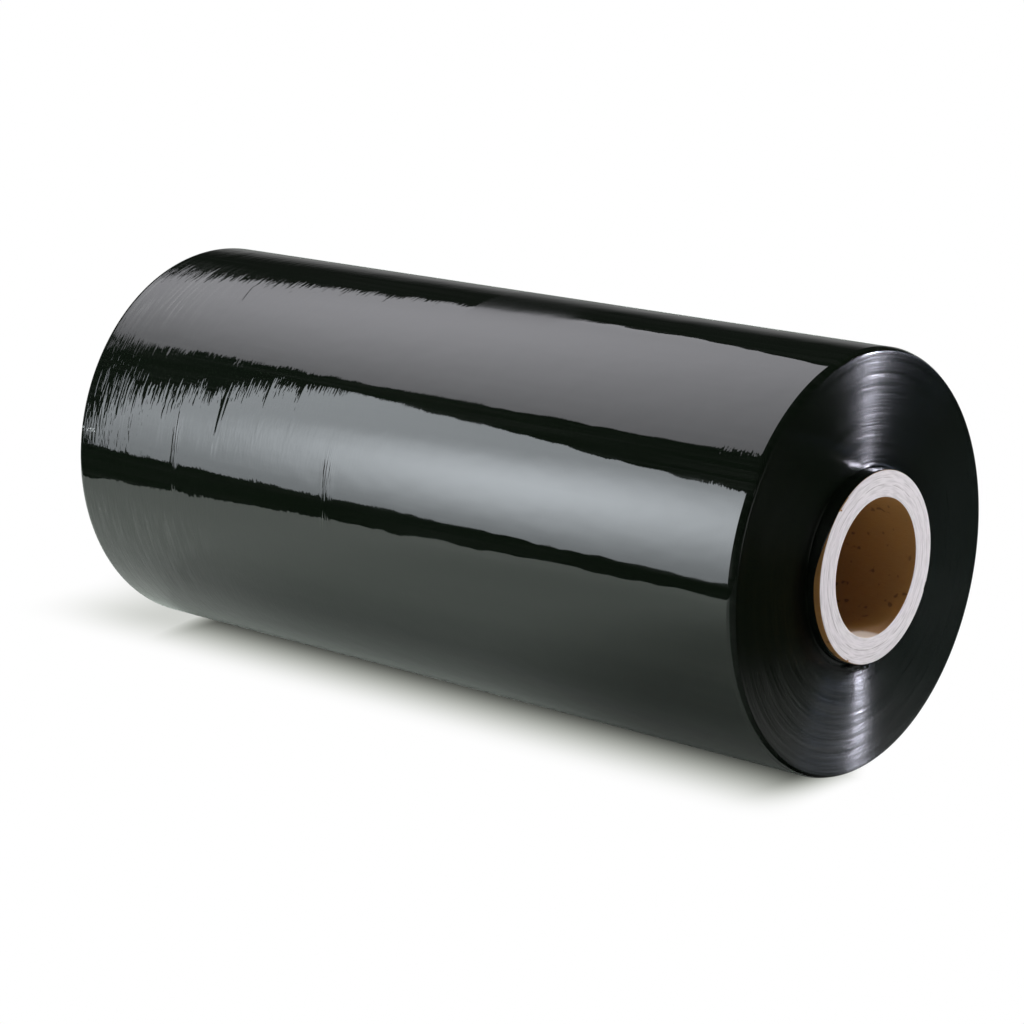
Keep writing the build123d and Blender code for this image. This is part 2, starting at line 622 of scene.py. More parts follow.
@dataclass(frozen=True)
class GlossyFilm:
    """Cast polyethylene stretch film, pulled tight: a wet black gloss with sharp reflections.

    Faint waves of the turns below show through. Towards the far end the last turn is gathered
    into fine creases round the roll, which comb the edges of every reflection into teeth. Over a
    patch past the middle it clings less closely, and the reflections' edges blur there.

    Places along the roll are in mm, turns in degrees, and waves in mm along, round and high.
    """

    name: str = "black_stretch_film"
    colour: str = "#0a100a"
    haze: str = "#161a16"
    haze_levels: tuple = (0.45, 0.8)
    ior: float = 1.53
    plain_roughness: tuple = (0.35, 0.75, 0.028, 0.05)
    draw_cell: tuple = (160.0, 1.6, 20.0)
    patch_start: float = -4.0
    patch_fade: tuple = (85.0, 50.0)
    patch_turns: tuple = (-25.0, -5.0, 95.0, 115.0)
    patch_roughness: tuple = (14.0, 30.0, 0.15, 0.05)
    swell: tuple = (24.0, 13.0, 0.013)
    swell_reach: tuple = (-100.0, 60.0, 1.0, 0.85)
    serration: tuple = (1.7, 7.0, 0.0045)
    serration_reach: tuple = (-160.0, 80.0, 1.0, 0.15)
    streak: tuple = (1.0, 18.0, 0.009)
    streak_reach: tuple = (-192.0, -228.0)
    streak_turns: tuple = ((36.0, 52.0, 0.6, 1.0), (64.0, 72.0, 1.0, 0.12))
    low_streak_turns: tuple = (90.0, 98.0, 0.0, 0.7)
    low_streak_reach: tuple = (-90.0, -200.0)
    tick: tuple = (1.2, 18.0, 0.030)
    tick_places: tuple = ((-166.0, 4.5), (-40.0, 7.5))
    tick_turns: tuple = (66.0, 80.0, 90.0, 95.0)
    noise_swing: float = 0.1
    creases: tuple = (
        Crease((-171.0, 20.0), (-164.5, 33.0), 0.8, 0.10),
        Crease((-168.5, 66.0), (-166.0, 84.0), 0.6, 0.10),
        Crease((-234.6, 71.0), (-233.6, 81.0), 0.8, 0.40),
        Crease((-45.0, 70.0), (-42.5, 84.0), 0.6, 0.10),
    )
    fluff: str = "#a0a6a6"
    fluff_reach: tuple = (-236.0, -238.0)
    fluff_turns: tuple = (78.2, 78.8, 79.4, 80.0)
    fluff_cell: tuple = (1.1, 1.4)
    fluff_levels: tuple = (0.56, 0.66)
    scuff: str = "#585a58"
    scuff_places: tuple = (((10.0, 20.0, 34.0, 50.0), (-150.0, -230.0, 0.0, 0.42)),
                           ((94.0, 104.0, 130.0, 160.0), (-100.0, -200.0, 0.0, 0.20)))
    scuff_cell: tuple = (2.4, 34.0)
    scuff_levels: tuple = (0.42, 0.76)

    def ticks(self, place: RollPlace) -> Socket:
        """Fades the fine upright ticks to a few narrow places, low on the roll's front.

        Args:
            place: the place on the roll.

        Returns:
            The share, 1 at the places and 0 elsewhere.
        """
        near = []
        for centre, reach in self.tick_places:
            away = add_node(place.tree, "Math", place.x, centre * MM, operation="SUBTRACT")
            size = add_node(place.tree, "Math", away, operation="ABSOLUTE")
            near.append(Ramp(size, reach * MM, 0.0))
        return join(place.tree, join(place.tree, *near, operation="MAXIMUM"),
                    *place.stretch(*self.tick_turns))

    def normal(self, place: RollPlace) -> Socket:
        """Adds the waves, creases and flat spots that what the film mirrors is seen in.

        Args:
            place: the place on the roll.

        Returns:
            The surface's normal.
        """
        tree = place.tree
        streaks = join(tree, place.along(*self.streak_reach),
                       *(place.around(*turns) for turns in self.streak_turns))
        low_streaks = join(tree, place.around(*self.low_streak_turns),
                           place.along(*self.low_streak_reach))
        layers = ((self.swell, place.along(*self.swell_reach)),
                  (self.serration, place.along(*self.serration_reach)),
                  (self.streak, join(tree, streaks, low_streaks, operation="ADD")),
                  (self.tick, self.ticks(place)))
        under = {}
        for (along, around, height), share in layers:
            bump = add_node(tree, "Bump", inputs={
                "Strength": 1.0, "Distance": height * MM / self.noise_swing,
                "Height": join(tree, place.noise(along, around), share), **under})
            under = {"Normal": bump}
        for crease in self.creases:
            bump = crease.build(place, bump)
        return FlatSpots().build(place, bump)

    def roughness(self, place: RollPlace, draw: Socket) -> Socket:
        """Mixes the film's own roughness with the blurred patch's.

        Args:
            place: the place on the roll.
            draw: a noise drawn out along the roll, as the film was.

        Returns:
            The roughness.
        """
        tree = place.tree
        begins = add_node(tree, "Math", place.x, self.patch_start * MM, operation="GREATER_THAN")
        patch = join(tree, begins, place.along(*self.patch_fade), *place.stretch(*self.patch_turns))
        return add_node(tree, "Mix", patch, data_type="FLOAT", inputs={
            2: join(tree, Ramp(draw, *self.plain_roughness)),
            3: join(tree, place.around(*self.patch_roughness))})

    def build(self) -> bpy.types.Material:
        """Makes the material.

        Returns:
            The film material.
        """
        material, tree = new_material(self.name)
        place = RollPlace.add(tree)
        draw = place.noise(*self.draw_cell)
        haze = add_node(tree, "MapRange", draw, *self.haze_levels)
        scuffs = [join(tree, *place.stretch(*turns), place.along(*reach))
                  for turns, reach in self.scuff_places]
        scuffs = join(tree, join(tree, *scuffs, operation="ADD"),
                      Ramp(place.noise(*self.scuff_cell), *self.scuff_levels))
        fluff = join(tree, place.along(*self.fluff_reach), *place.stretch(*self.fluff_turns),
                     Ramp(place.noise(*self.fluff_cell), *self.fluff_levels))
        colour = linear(self.colour)
        for share, code in ((haze, self.haze), (scuffs, self.scuff), (fluff, self.fluff)):
            colour = add_node(tree, "Mix", share, inputs={6: colour, 7: linear(code)}, **BLENDS_COLOURS)
        shader = add_node(tree, "BsdfPrincipled", inputs={
            "Base Color": colour, "Roughness": self.roughness(place, draw), "IOR": self.ior,
            "Normal": self.normal(place)})
        add_node(tree, "OutputMaterial", shader)
        return material


@dataclass(frozen=True)
class FilmEdges:
    """The film's cut edges, wound side by side: near black, with a sheen that gathers into
    narrow streaks up and down the face, as on a turned disc, because the edges are fine grooves
    round the axis. The grooves are drawn coarser than the film is thick, so that they show, and
    each leans a little towards the axis.

    A layer of grooves is its width in mm, its drift round the face, its finer octaves, and its
    smallest and largest slope.
    """

    name: str = "wound_film_edges"
    colour: str = "#080d07"
    dust: str = "#161b19"
    dust_turns: tuple = ((-30.0, -80.0), (128.0, 154.0))
    roughness: float = 0.265
    ior: float = 1.5
    anisotropic: float = 1.0
    noise_range: tuple = (0.3, 0.7)
    groove: tuple = (0.9, 2.2, 2.0, 0.06, 0.26)
    band: tuple = (3.4, 1.6, 0.0, -0.03, 0.03)
    waver: tuple = (0.6, 2.4, 1.0, -0.014, 0.014)
    dull_rings: tuple = (0.60, 1.6, 3.0)
    dull_levels: tuple = (0.62, 0.38, 0.20, 0.76)
    smudge_cell_mm: float = 6.5
    smudge_detail: float = 3.0
    smudge_levels: tuple = (0.52, 0.64, 0.0, 0.55)
    smudge_radius: tuple = (64 * MM, 82 * MM, 1.0, 0.0)
    smudge_turns: tuple = (150 * DEGREE, 165 * DEGREE)
    lip_radius: tuple = (56.4 * MM, 59.0 * MM, 0.28, 1.0)

    def slope(self, place: RollPlace, width_mm: float, drift: float, detail: float, low: float,
              high: float) -> Socket:
        """Adds the slope of one layer of grooves, each fading in and out round the face.

        Args:
            place: the place on the roll.
            width_mm: a groove's width.
            drift: how fast it changes round the face.
            detail: how many finer octaves the layer has.
            low: the smallest slope.
            high: the largest slope.

        Returns:
            The slope.
        """
        rings = place.rings(width_mm, drift, detail)
        return add_node(place.tree, "MapRange", rings, *self.noise_range, low, high)

    def normal(self, place: RollPlace) -> Socket:
        """Leans the face's normal towards the axis by the grooves, and a little round it.

        Args:
            place: the place on the roll.

        Returns:
            The normal.
        """
        tree = place.tree
        grooves = join(tree, self.slope(place, *self.groove), self.slope(place, *self.band),
                       operation="ADD")
        inward = join(tree, grooves, -1.0)
        round_it = add_node(tree, "VectorMath", (1, 0, 0), place.unit, operation="CROSS_PRODUCT")
        normal = add_node(tree, "NewGeometry", output="Normal")
        for direction, slope in ((place.unit, inward), (round_it, self.slope(place, *self.waver))):
            shift = add_node(tree, "VectorMath", direction, inputs={"Scale": slope}, operation="SCALE")
            normal = add_node(tree, "VectorMath", normal, shift, operation="ADD")
        return add_node(tree, "VectorMath", normal, operation="NORMALIZE")

    def gloss(self, place: RollPlace) -> Socket:
        """Dulls the face in rings, in smudges below the core, and at the lip round the core.

        Args:
            place: the place on the roll.

        Returns:
            The level of the mirrored light.
        """
        tree = place.tree
        blots = add_node(tree, "TexNoise", place.outward, inputs={
            "Scale": 1 / (self.smudge_cell_mm * MM), "Detail": self.smudge_detail})
        away = add_node(tree, "Math", place.turn, operation="ABSOLUTE")
        smudge = join(tree, Ramp(blots, *self.smudge_levels), Ramp(place.radius, *self.smudge_radius),
                      Ramp(away, *self.smudge_turns))
        clean = add_node(tree, "Math", 1.0, smudge, operation="SUBTRACT")
        return join(tree, Ramp(place.rings(*self.dull_rings), *self.dull_levels), clean,
                    Ramp(place.radius, *self.lip_radius))

    def build(self) -> bpy.types.Material:
        """Makes the material.

        Returns:
            The end face material.
        """
        material, tree = new_material(self.name)
        place = RollPlace.add(tree)
        dusty = join(tree, *(place.around(*turns) for turns in self.dust_turns), operation="MAXIMUM")
        colour = add_node(tree, "Mix", dusty, inputs={6: linear(self.colour), 7: linear(self.dust)},
                          **BLENDS_COLOURS)
        shader = add_node(tree, "BsdfPrincipled", inputs={
            "Base Color": colour, "Roughness": self.roughness, "IOR": self.ior,
            "Specular IOR Level": self.gloss(place), "Anisotropic": self.anisotropic,
            "Tangent": place.outward, "Normal": self.normal(place)})
        add_node(tree, "OutputMaterial", shader)
        return material


@dataclass(frozen=True)
class KraftWall:
    """The core's rolled faces: dry brown kraft paper with fine fibres and small dark specks.

    Underneath, at the near mouth, a pale patch of painted light lies on the bore's floor where a lamp
    shines in, and its soft edge is the painted shadow of the mouth's top edge.
    """

    name: str = "kraft_paperboard"
    colour: str = "#9c7239"
    dark: str = "#825b2a"
    roughness: float = 0.85
    fibre_cell_mm: tuple = (5.0, 0.6, 0.6)
    fibre_detail: float = 4.0
    fibre_height: float = 0.05 * MM
    fibre_strength: float = 0.5
    speck: str = "#3c2a14"
    speck_mm: float = 5.5
    speck_detail: float = 1.2
    speck_levels: tuple = (0.635, 0.74, 0.0, 0.6)
    # Painted light: a pale pool of lamp light on the bore's floor at the near mouth, with a soft painted
    # shadow edge
    painted_light: str = "#c8b8a8"
    painted_light_depth: float = 15 * MM
    painted_light_turn: float = 164 * DEGREE
    painted_light_half_turn: float = 23 * DEGREE
    painted_light_squareness: float = 4.0
    painted_light_edge: tuple = (0.35, 1.15, 1.0, 0.0)

    def painted_light_share(self, place: RollPlace) -> Socket:
        """Gives the share of the painted light patch on the bore's floor.

        Args:
            place: the place on the roll.

        Returns:
            A level that is 1 on the painted light patch and 0 elsewhere.
        """
        tree = place.tree
        depth = add_node(tree, "Math", SIZES.half_core, place.x, operation="SUBTRACT")
        middle = (0, -math.sin(self.painted_light_turn), math.cos(self.painted_light_turn))
        away = add_node(tree, "VectorMath", place.unit, middle, operation="DISTANCE", output="Value")
        powers = []
        for size, reach in ((depth, self.painted_light_depth), (away, self.painted_light_half_turn)):
            share = add_node(tree, "Math", size, reach, operation="DIVIDE")
            powers.append(add_node(tree, "Math", share, self.painted_light_squareness, operation="POWER"))
        inside = add_node(tree, "Math", place.radius, (SIZES.core_radius + SIZES.bore_radius) / 2,
                          operation="LESS_THAN")
        return join(tree, Ramp(join(tree, *powers, operation="ADD"), *self.painted_light_edge), inside)

    def build(self) -> bpy.types.Material:
        """Makes the material.

        Returns:
            The kraft material.
        """
        material, tree = new_material(self.name)
        place = RollPlace.add(tree)
        cells = tuple(1 / (size * MM) for size in self.fibre_cell_mm)
        scaled = add_node(tree, "VectorMath", place.skin, cells, operation="MULTIPLY")
        fibres = add_node(tree, "TexNoise", scaled, inputs={"Scale": 1.0, "Detail": self.fibre_detail})
        # The skin's arc is measured at the film's radius, and is brought to the bore's
        on_bore = add_node(tree, "VectorMath", place.skin,
                           (1, SIZES.bore_radius / SIZES.film_radius, 1), operation="MULTIPLY")
        specks = add_node(tree, "TexNoise", on_bore, inputs={
            "Scale": 1 / (self.speck_mm * MM), "Detail": self.speck_detail})
        colour = linear(self.dark)
        # The last colour is painted light: the lamp-lit patch on the bore's floor at the mouth
        for share, code in ((fibres, self.colour),
                            (join(tree, Ramp(specks, *self.speck_levels)), self.speck),
                            (self.painted_light_share(place), self.painted_light)):
            colour = add_node(tree, "Mix", share, inputs={6: colour, 7: linear(code)}, **BLENDS_COLOURS)
        bump = add_node(tree, "Bump", inputs={
            "Strength": self.fibre_strength, "Distance": self.fibre_height, "Height": fibres})
        shader = add_node(tree, "BsdfPrincipled", inputs={
            "Base Color": colour, "Roughness": self.roughness, "Normal": bump})
        add_node(tree, "OutputMaterial", shader)
        return material


@dataclass(frozen=True)
class CutBoard:
    """The core's cut ends: pale greyish board, matte and furry from the saw.

    The plies show as faint rings, and two of them have come apart in a fine dark line. A split
    is its radius and half its width, in mm.
    """

    name: str = "cut_paperboard"
    colour: str = "#cdc8cb"
    dark: str = "#afaaad"
    split: str = "#77716f"
    roughness: float = 0.9
    ply_rings: tuple = (0.9, 5.0, 2.5)
    ply_levels: tuple = (0.22, 0.6)
    ply_height: float = 0.08 * MM
    ply_strength: float = 0.8
    wander_rings: tuple = (40.0, 1.2, 2.0)
    wander_mm: float = 3.0
    splits: tuple = ((45.6, 0.30), (49.8, 0.20))
    split_share: float = 0.8
    split_gaps: tuple = (0.62, 0.45)

    def build(self) -> bpy.types.Material:
        """Makes the material.

        Returns:
            The cut board material.
        """
        material, tree = new_material(self.name)
        place = RollPlace.add(tree)
        plies = place.rings(*self.ply_rings)
        level = add_node(tree, "MapRange", plies, *self.ply_levels)
        wander = place.rings(*self.wander_rings)
        lines = []
        for middle, half_width in self.splits:
            line = add_node(tree, "Math", wander, self.wander_mm * MM,
                            (middle - self.wander_mm / 2) * MM, operation="MULTIPLY_ADD")
            away = add_node(tree, "Math", place.radius, line, operation="SUBTRACT")
            size = add_node(tree, "Math", away, operation="ABSOLUTE")
            lines.append(Ramp(size, 0.0, half_width * MM, self.split_share, 0.0))
        shown = join(tree, join(tree, *lines, operation="MAXIMUM"),
                     add_node(tree, "MapRange", plies, *self.split_gaps))
        colour = linear(self.dark)
        for share, code in ((level, self.colour), (shown, self.split)):
            colour = add_node(tree, "Mix", share, inputs={6: colour, 7: linear(code)}, **BLENDS_COLOURS)
        bump = add_node(tree, "Bump", inputs={
            "Strength": self.ply_strength, "Distance": self.ply_height, "Height": plies})
        shader = add_node(tree, "BsdfPrincipled", inputs={
            "Base Color": colour, "Roughness": self.roughness, "Normal": bump})
        add_node(tree, "OutputMaterial", shader)
        return material


# The film

@dataclass
class WoundFilm:
    """All the turns of film: a closed body with rounded rims and ringed end faces.

    A zone of the body is where it starts and how many rings it is cut into, a rim its length and
    drop, the lip and the sleeve their rings' height over the core and reach out of the face, and
    the cells of a noise their length along the roll and their number round it.
    """

    around: int = 256
    zones: tuple = ((-238 * MM, 158), (-119 * MM, 62), (-26 * MM, 28))
    shortest_zone: float = 20 * MM
    near_rim: tuple = (3.7 * MM, 2.35 * MM)
    far_rim: tuple = (3.0 * MM, 1.0 * MM)
    rim_turn: float = 48 * DEGREE
    rim_steps: int = 5
    corner: float = 0.4 * MM
    corner_steps: int = 3
    step_height: float = 0.35 * MM
    step_slope: float = 0.5 * MM
    step_land: float = 0.3 * MM
    near_rings: int = 36
    far_rings: int = 20
    ring_depth: float = 0.16 * MM
    ring_ease: float = 8.0
    ring_wander: float = 0.6
    lip: tuple = ((3.2 * MM, 0.0), (1.9 * MM, 0.25 * MM), (1.25 * MM, 0.75 * MM),
                  (0.9 * MM, 0.72 * MM), (0.7 * MM, -0.6 * MM), (0.6 * MM, -0.6 * MM))
    sleeve: tuple = ((0.58 * MM, 0.3 * MM), (0.55 * MM, 2.4 * MM), (0.5 * MM, 4.5 * MM),
                     (0.35 * MM, 4.6 * MM), (0.0, 4.6 * MM))
    sleeve_layer: float = 0.65 * MM
    sleeve_slip: tuple = (118.0, 28.0, 66.0, 3.6 * MM)
    bore_inset: float = 4 * MM
    end_layers: tuple = (4.0 * MM, 1.95 * MM)
    skin_layer: tuple = (1.4 * MM, 0.6 * MM)
    gather_pitch: float = 6.2 * MM
    gather_height: float = 0.020 * MM
    gather_reach: tuple = (-95 * MM, -190 * MM)
    gather_lean: float = 0.02 * MM
    sway: float = 2.2 * MM
    sway_cells: tuple = (9 * MM, 14)
    break_cells: tuple = (2.6 * MM, 30)
    pucker_cells: tuple = (2.4 * MM, 30)
    pucker_height: float = 0.030 * MM
    pucker_turn: float = 7.0
    fold_cells: tuple = (7.0 * MM, 16)
    fold_height: float = 0.05 * MM
    fold_reach: tuple = (-170 * MM, -230 * MM)
    patch_cells: tuple = (14 * MM, 12)
    patch_share: float = 0.35
    ridge_places: tuple = ((-133 * MM, 64.0), (-102 * MM, 58.5), (-77 * MM, 58.0))
    ridge: tuple = (1.3 * MM, 9.0, 0.07 * MM)
    crease_angle: float = 30.0
    seed: int = 5

    def rim_stations(self, near: bool) -> list:
        """Lists the rings from the body's end over the rim.

        Args:
            near: whether it is the near end, which has the low step of the last turns.

        Returns:
            (x, radius) of each ring, with x out from the middle.
        """
        end, low = SIZES.half_film, SIZES.film_radius
        length, drop = self.near_rim if near else self.far_rim
        stations = []
        if near:
            edge = end - length - self.step_slope
            stations = [(edge - self.step_land, low), (edge, low)]
            low -= self.step_height
            drop -= self.step_height
        for step in range(1 if near else 0, self.rim_steps + 1):
            angle = self.rim_turn * step / self.rim_steps
            down = (1 - math.cos(angle)) / (1 - math.cos(self.rim_turn))
            along = math.sin(angle) / math.sin(self.rim_turn)
            stations.append((end - self.corner - (length - self.corner) * (1 - along),
                             low - (drop - self.corner) * down))
        top = stations[-1][1]
        for step in range(1, self.corner_steps + 1):
            angle = self.rim_turn + (math.pi / 2 - self.rim_turn) * step / self.corner_steps
            along = (math.sin(angle) - math.sin(self.rim_turn)) / (1 - math.sin(self.rim_turn))
            down = 1 - math.cos(angle) / math.cos(self.rim_turn)
            stations.append((end - self.corner * (1 - along), top - self.corner * down))
        return stations

    def end_stations(self, side: int, start: tuple) -> list:
        """Lists the rings from the body's end over the rim and in to the core.

        Args:
            side: 1 for the near end and -1 for the far end.
            start: (x, radius) of the body's last ring.

        Returns:
            (x, radius) of each ring, the body's last ring first.
        """
        luck = random.Random(self.seed + side)
        end = SIZES.half_film
        stations = self.rim_stations(side > 0)
        outer, inner = stations[-1][1], SIZES.core_radius + self.lip[0][0]
        rings = self.near_rings if side > 0 else self.far_rings
        for ring in range(1, rings):
            depth = self.ring_depth * luck.random() * min(1.0, self.ring_ease * ring / rings)
            place = (ring + self.ring_wander * (luck.random() - 0.5)) / rings
            stations.append((end - depth, outer + (inner - outer) * place))
        stations += [(end + out, SIZES.core_radius + up) for up, out in self.lip + self.sleeve]
        stations.append((end - self.bore_inset, SIZES.core_radius))
        return [start] + [(side * x, radius) for x, radius in stations]

    def model(self) -> Piece:
        """Models the film from one open cylinder.

        Returns:
            The film piece.
        """
        start_x = -self.zones[0][0]
        piece = start_tube("wound_film", start_x, SIZES.film_radius, self.around)
        for side in (1, -1):
            extend_tube(piece, self.end_stations(side, (side * start_x, SIZES.film_radius)))
        bridge_bore(piece, SIZES.core_radius)
        return piece

    def pick_long_edges(self, piece: Piece, low: float | None = None) -> None:
        """Selects the edges that run along the film's outside, and leaves the piece in edit mode.

        Args:
            piece: the film piece, in object mode.
            low: the place along the roll of the ring they start from, or nothing for all.
        """
        clear_selection("EDGE")
        points = points_of(piece)
        radius, _ = around_roll(points)
        ends = np.zeros(len(piece.data.edges) * 2, int)
        piece.data.edges.foreach_get("vertices", ends)
        ends = ends.reshape(-1, 2)
        x = points[ends, 0]
        outside = (radius[ends] > SIZES.film_radius - SAME_PLACE).all(axis=1)
        starts_there = True if low is None else np.abs(x.min(axis=1) - low) < SAME_PLACE
        long = x.max(axis=1) - x.min(axis=1) > self.shortest_zone
        piece.data.edges.foreach_set("select", outside & starts_there & long)
        bpy.ops.object.mode_set(mode="EDIT")

    def refine(self, piece: Piece) -> None:
        """Cuts the long faces of the body into rings, finer near the far end.

        Args:
            piece: the film piece.
        """
        for start, _ in self.zones[1:]:
            self.pick_long_edges(piece)
            bpy.ops.mesh.bisect(plane_co=(start, 0, 0), plane_no=(1, 0, 0))
            bpy.ops.object.mode_set(mode="OBJECT")
        for start, cuts in self.zones:
            self.pick_long_edges(piece, start)
            bpy.ops.mesh.subdivide(number_cuts=cuts)
            bpy.ops.object.mode_set(mode="OBJECT")

    def pull_gathers(self, piece: Piece) -> None:
        """Draws the last turn into fine gathers round the roll, strongest at the far end.

        Args:
            piece: the film piece.
        """
        points = points_of(piece)
        radius, turn = around_roll(points)
        x = points[:, 0]
        outside = ease(radius, *(SIZES.film_radius - depth for depth in self.skin_layer))
        far = ease(x, *self.gather_reach)
        lean = x + self.gather_lean * turn
        sway = self.sway * soft_noise(lean, turn, *self.sway_cells, self.seed)
        gathers = np.sin(2 * math.pi * (lean + sway) / self.gather_pitch)
        breaks = (1 + soft_noise(lean, turn, *self.break_cells, self.seed + 1)) / 2
        puckers = soft_noise(lean, turn + self.pucker_turn, *self.pucker_cells, self.seed + 2)
        folds = soft_noise(lean, turn, *self.fold_cells, self.seed + 3)
        patchy = soft_noise(x, turn, *self.patch_cells, self.seed + 4)
        patchy = 1 - self.patch_share + self.patch_share * patchy
        height = self.gather_height * far * breaks * gathers
        height += self.pucker_height * far * patchy * puckers
        height += self.fold_height * ease(x, *self.fold_reach) * folds
        width, spread, rise = self.ridge
        for place, angle in self.ridge_places:
            height += rise * np.exp(-((x - place) / width) ** 2 - ((turn - angle) / spread) ** 2)
        push_out(points, height * outside)
        set_points(piece, points)

    def slip_sleeve(self, piece: Piece) -> None:
        """Draws the sleeve of inner turns out to the core's end, but for a stretch in front.

        Args:
            piece: the film piece.
        """
        points = points_of(piece)
        radius, turn = around_roll(points)
        out = np.abs(points[:, 0]) - SIZES.half_film
        in_sleeve = (radius < SIZES.core_radius + self.sleeve_layer) & (out > 0)
        middle, start, end, slip = self.sleeve_slip
        share = ease(np.abs(turn - middle), start, end) * np.clip(out / SLEEVE_REACH, 0, 1)
        points[:, 0] += np.sign(points[:, 0]) * in_sleeve * share * slip
        set_points(piece, points)

    def flatten(self, piece: Piece) -> None:
        """Presses what would reach below the floor flat, as the roll's weight does.

        Args:
            piece: the film piece.
        """
        select_vertices(piece, points_of(piece)[:, 2] < 0)
        bpy.ops.transform.resize(value=(1, 1, 0), center_override=(0, 0, 0))
        bpy.ops.object.mode_set(mode="OBJECT")

    def dress(self, piece: Piece) -> None:
        """Gives the outside and the end faces their own materials.

        Args:
            piece: the film piece.
        """
        piece.data.materials.append(GlossyFilm().build())
        piece.data.materials.append(FilmEdges().build())
        end_depth, rim_depth = self.end_layers
        outer, inner = SIZES.film_radius - rim_depth, SIZES.core_radius + self.sleeve_layer
        for face in piece.data.polygons:
            up = face.center - Vector((face.center.x, 0, SIZES.axis_height))
            on_end = abs(face.center.x) > SIZES.half_film - end_depth
            face.material_index = 1 if on_end and inner < up.length < outer else 0

    def build(self) -> Piece:
        """Models, shades, dresses and places the film.

        Returns:
            The film piece.
        """
        piece = self.model()
        self.refine(piece)
        self.pull_gathers(piece)
        self.slip_sleeve(piece)
        self.flatten(piece)
        close_and_smooth(piece, self.crease_angle)
        self.dress(piece)
        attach(piece, "root")
        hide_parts("film_roll")
        return piece


# The core

@dataclass
class PaperCore:
    """The wound paperboard tube, open from end to end.

    The tube starts short of the core's ends, and its cut faces begin short of them, by so many
    edge widths. A scuff is its turn and half its spread in degrees, and its depth.
    """

    around: int = 320
    edge: float = 0.7 * MM
    edge_roundness: float = 0.3
    start_edges: float = 1.5
    cut_edges: float = 0.5
    plies: int = 12
    ply_depth: float = 0.12 * MM
    scuffs: tuple = ((38.0, 9.0, 0.9 * MM), (-113.0, 3.0, 0.8 * MM), (150.0, 5.0, 0.35 * MM))
    scuff_layer: tuple = (2.4 * MM, 0.8 * MM)
    scuff_reach: tuple = (1.6 * MM, 0.2 * MM)
    scuff_core_share: float = 0.4
    scuff_inward: float = 0.7
    scuff_cells: tuple = (1.2 * MM, 200)
    scuff_ragged: float = 0.55
    crease_angle: float = 35.0
    seed: int = 11

    def end_stations(self, side: int, start_x: float, luck: random.Random) -> list:
        """Lists the rings from the tube's end over its edges and across the plies.

        Args:
            side: 1 for the near end and -1 for the far end.
            start_x: half the length of the tube as it is.
            luck: the random draws.

        Returns:
            (x, radius) of each ring, the tube's last ring first.
        """
        outer, inner, end = SIZES.core_radius, SIZES.bore_radius, SIZES.half_core
        soft = self.edge_roundness * self.edge
        wall = outer - inner - 2 * self.edge
        stations = [(start_x, outer), (end - self.edge, outer), (end - soft, outer - soft),
                    (end, outer - self.edge)]
        for ply in range(1, self.plies):
            radius = outer - self.edge - wall * ply / self.plies
            stations.append((end - self.ply_depth * luck.random(), radius))
        stations += [(end, inner + self.edge), (end - soft, inner + soft), (end - self.edge, inner)]
        return [(side * x, radius) for x, radius in stations]

    def scuff(self, piece: Piece) -> None:
        """Crushes the near end's outer edge at a few places.

        Args:
            piece: the core piece.
        """
        points = points_of(piece)
        radius, turn = around_roll(points)
        edge = ease(radius, *(SIZES.core_radius - depth for depth in self.scuff_layer))
        edge *= ease(points[:, 0], *(SIZES.half_core - depth for depth in self.scuff_reach))
        rough = self.scuff_ragged * soft_noise(radius, turn, *self.scuff_cells, self.seed)
        rough += 1 - self.scuff_ragged
        for middle, reach, depth in self.scuffs:
            share = edge * ease(np.abs(turn - middle), reach, self.scuff_core_share * reach) * rough
            push_out(points, -self.scuff_inward * depth * share)
            points[:, 0] -= depth * share
        set_points(piece, points)

    def build(self) -> Piece:
        """Models, shades, dresses and places the core.

        Returns:
            The core piece.
        """
        start_x = SIZES.half_core - self.start_edges * self.edge
        piece = start_tube("paper_core", start_x, SIZES.core_radius, self.around)
        luck = random.Random(self.seed)
        for side in (1, -1):
            extend_tube(piece, self.end_stations(side, start_x, luck))
        bridge_bore(piece, SIZES.bore_radius)
        self.scuff(piece)
        close_and_smooth(piece, self.crease_angle)
        piece.data.materials.append(KraftWall().build())
        piece.data.materials.append(CutBoard().build())
        cut_x = SIZES.half_core - self.cut_edges * self.edge
        for face in piece.data.polygons:
            face.material_index = 1 if abs(face.center.x) > cut_x else 0
        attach(piece, "root")
        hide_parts("core_tube")
        return piece


# The torn end

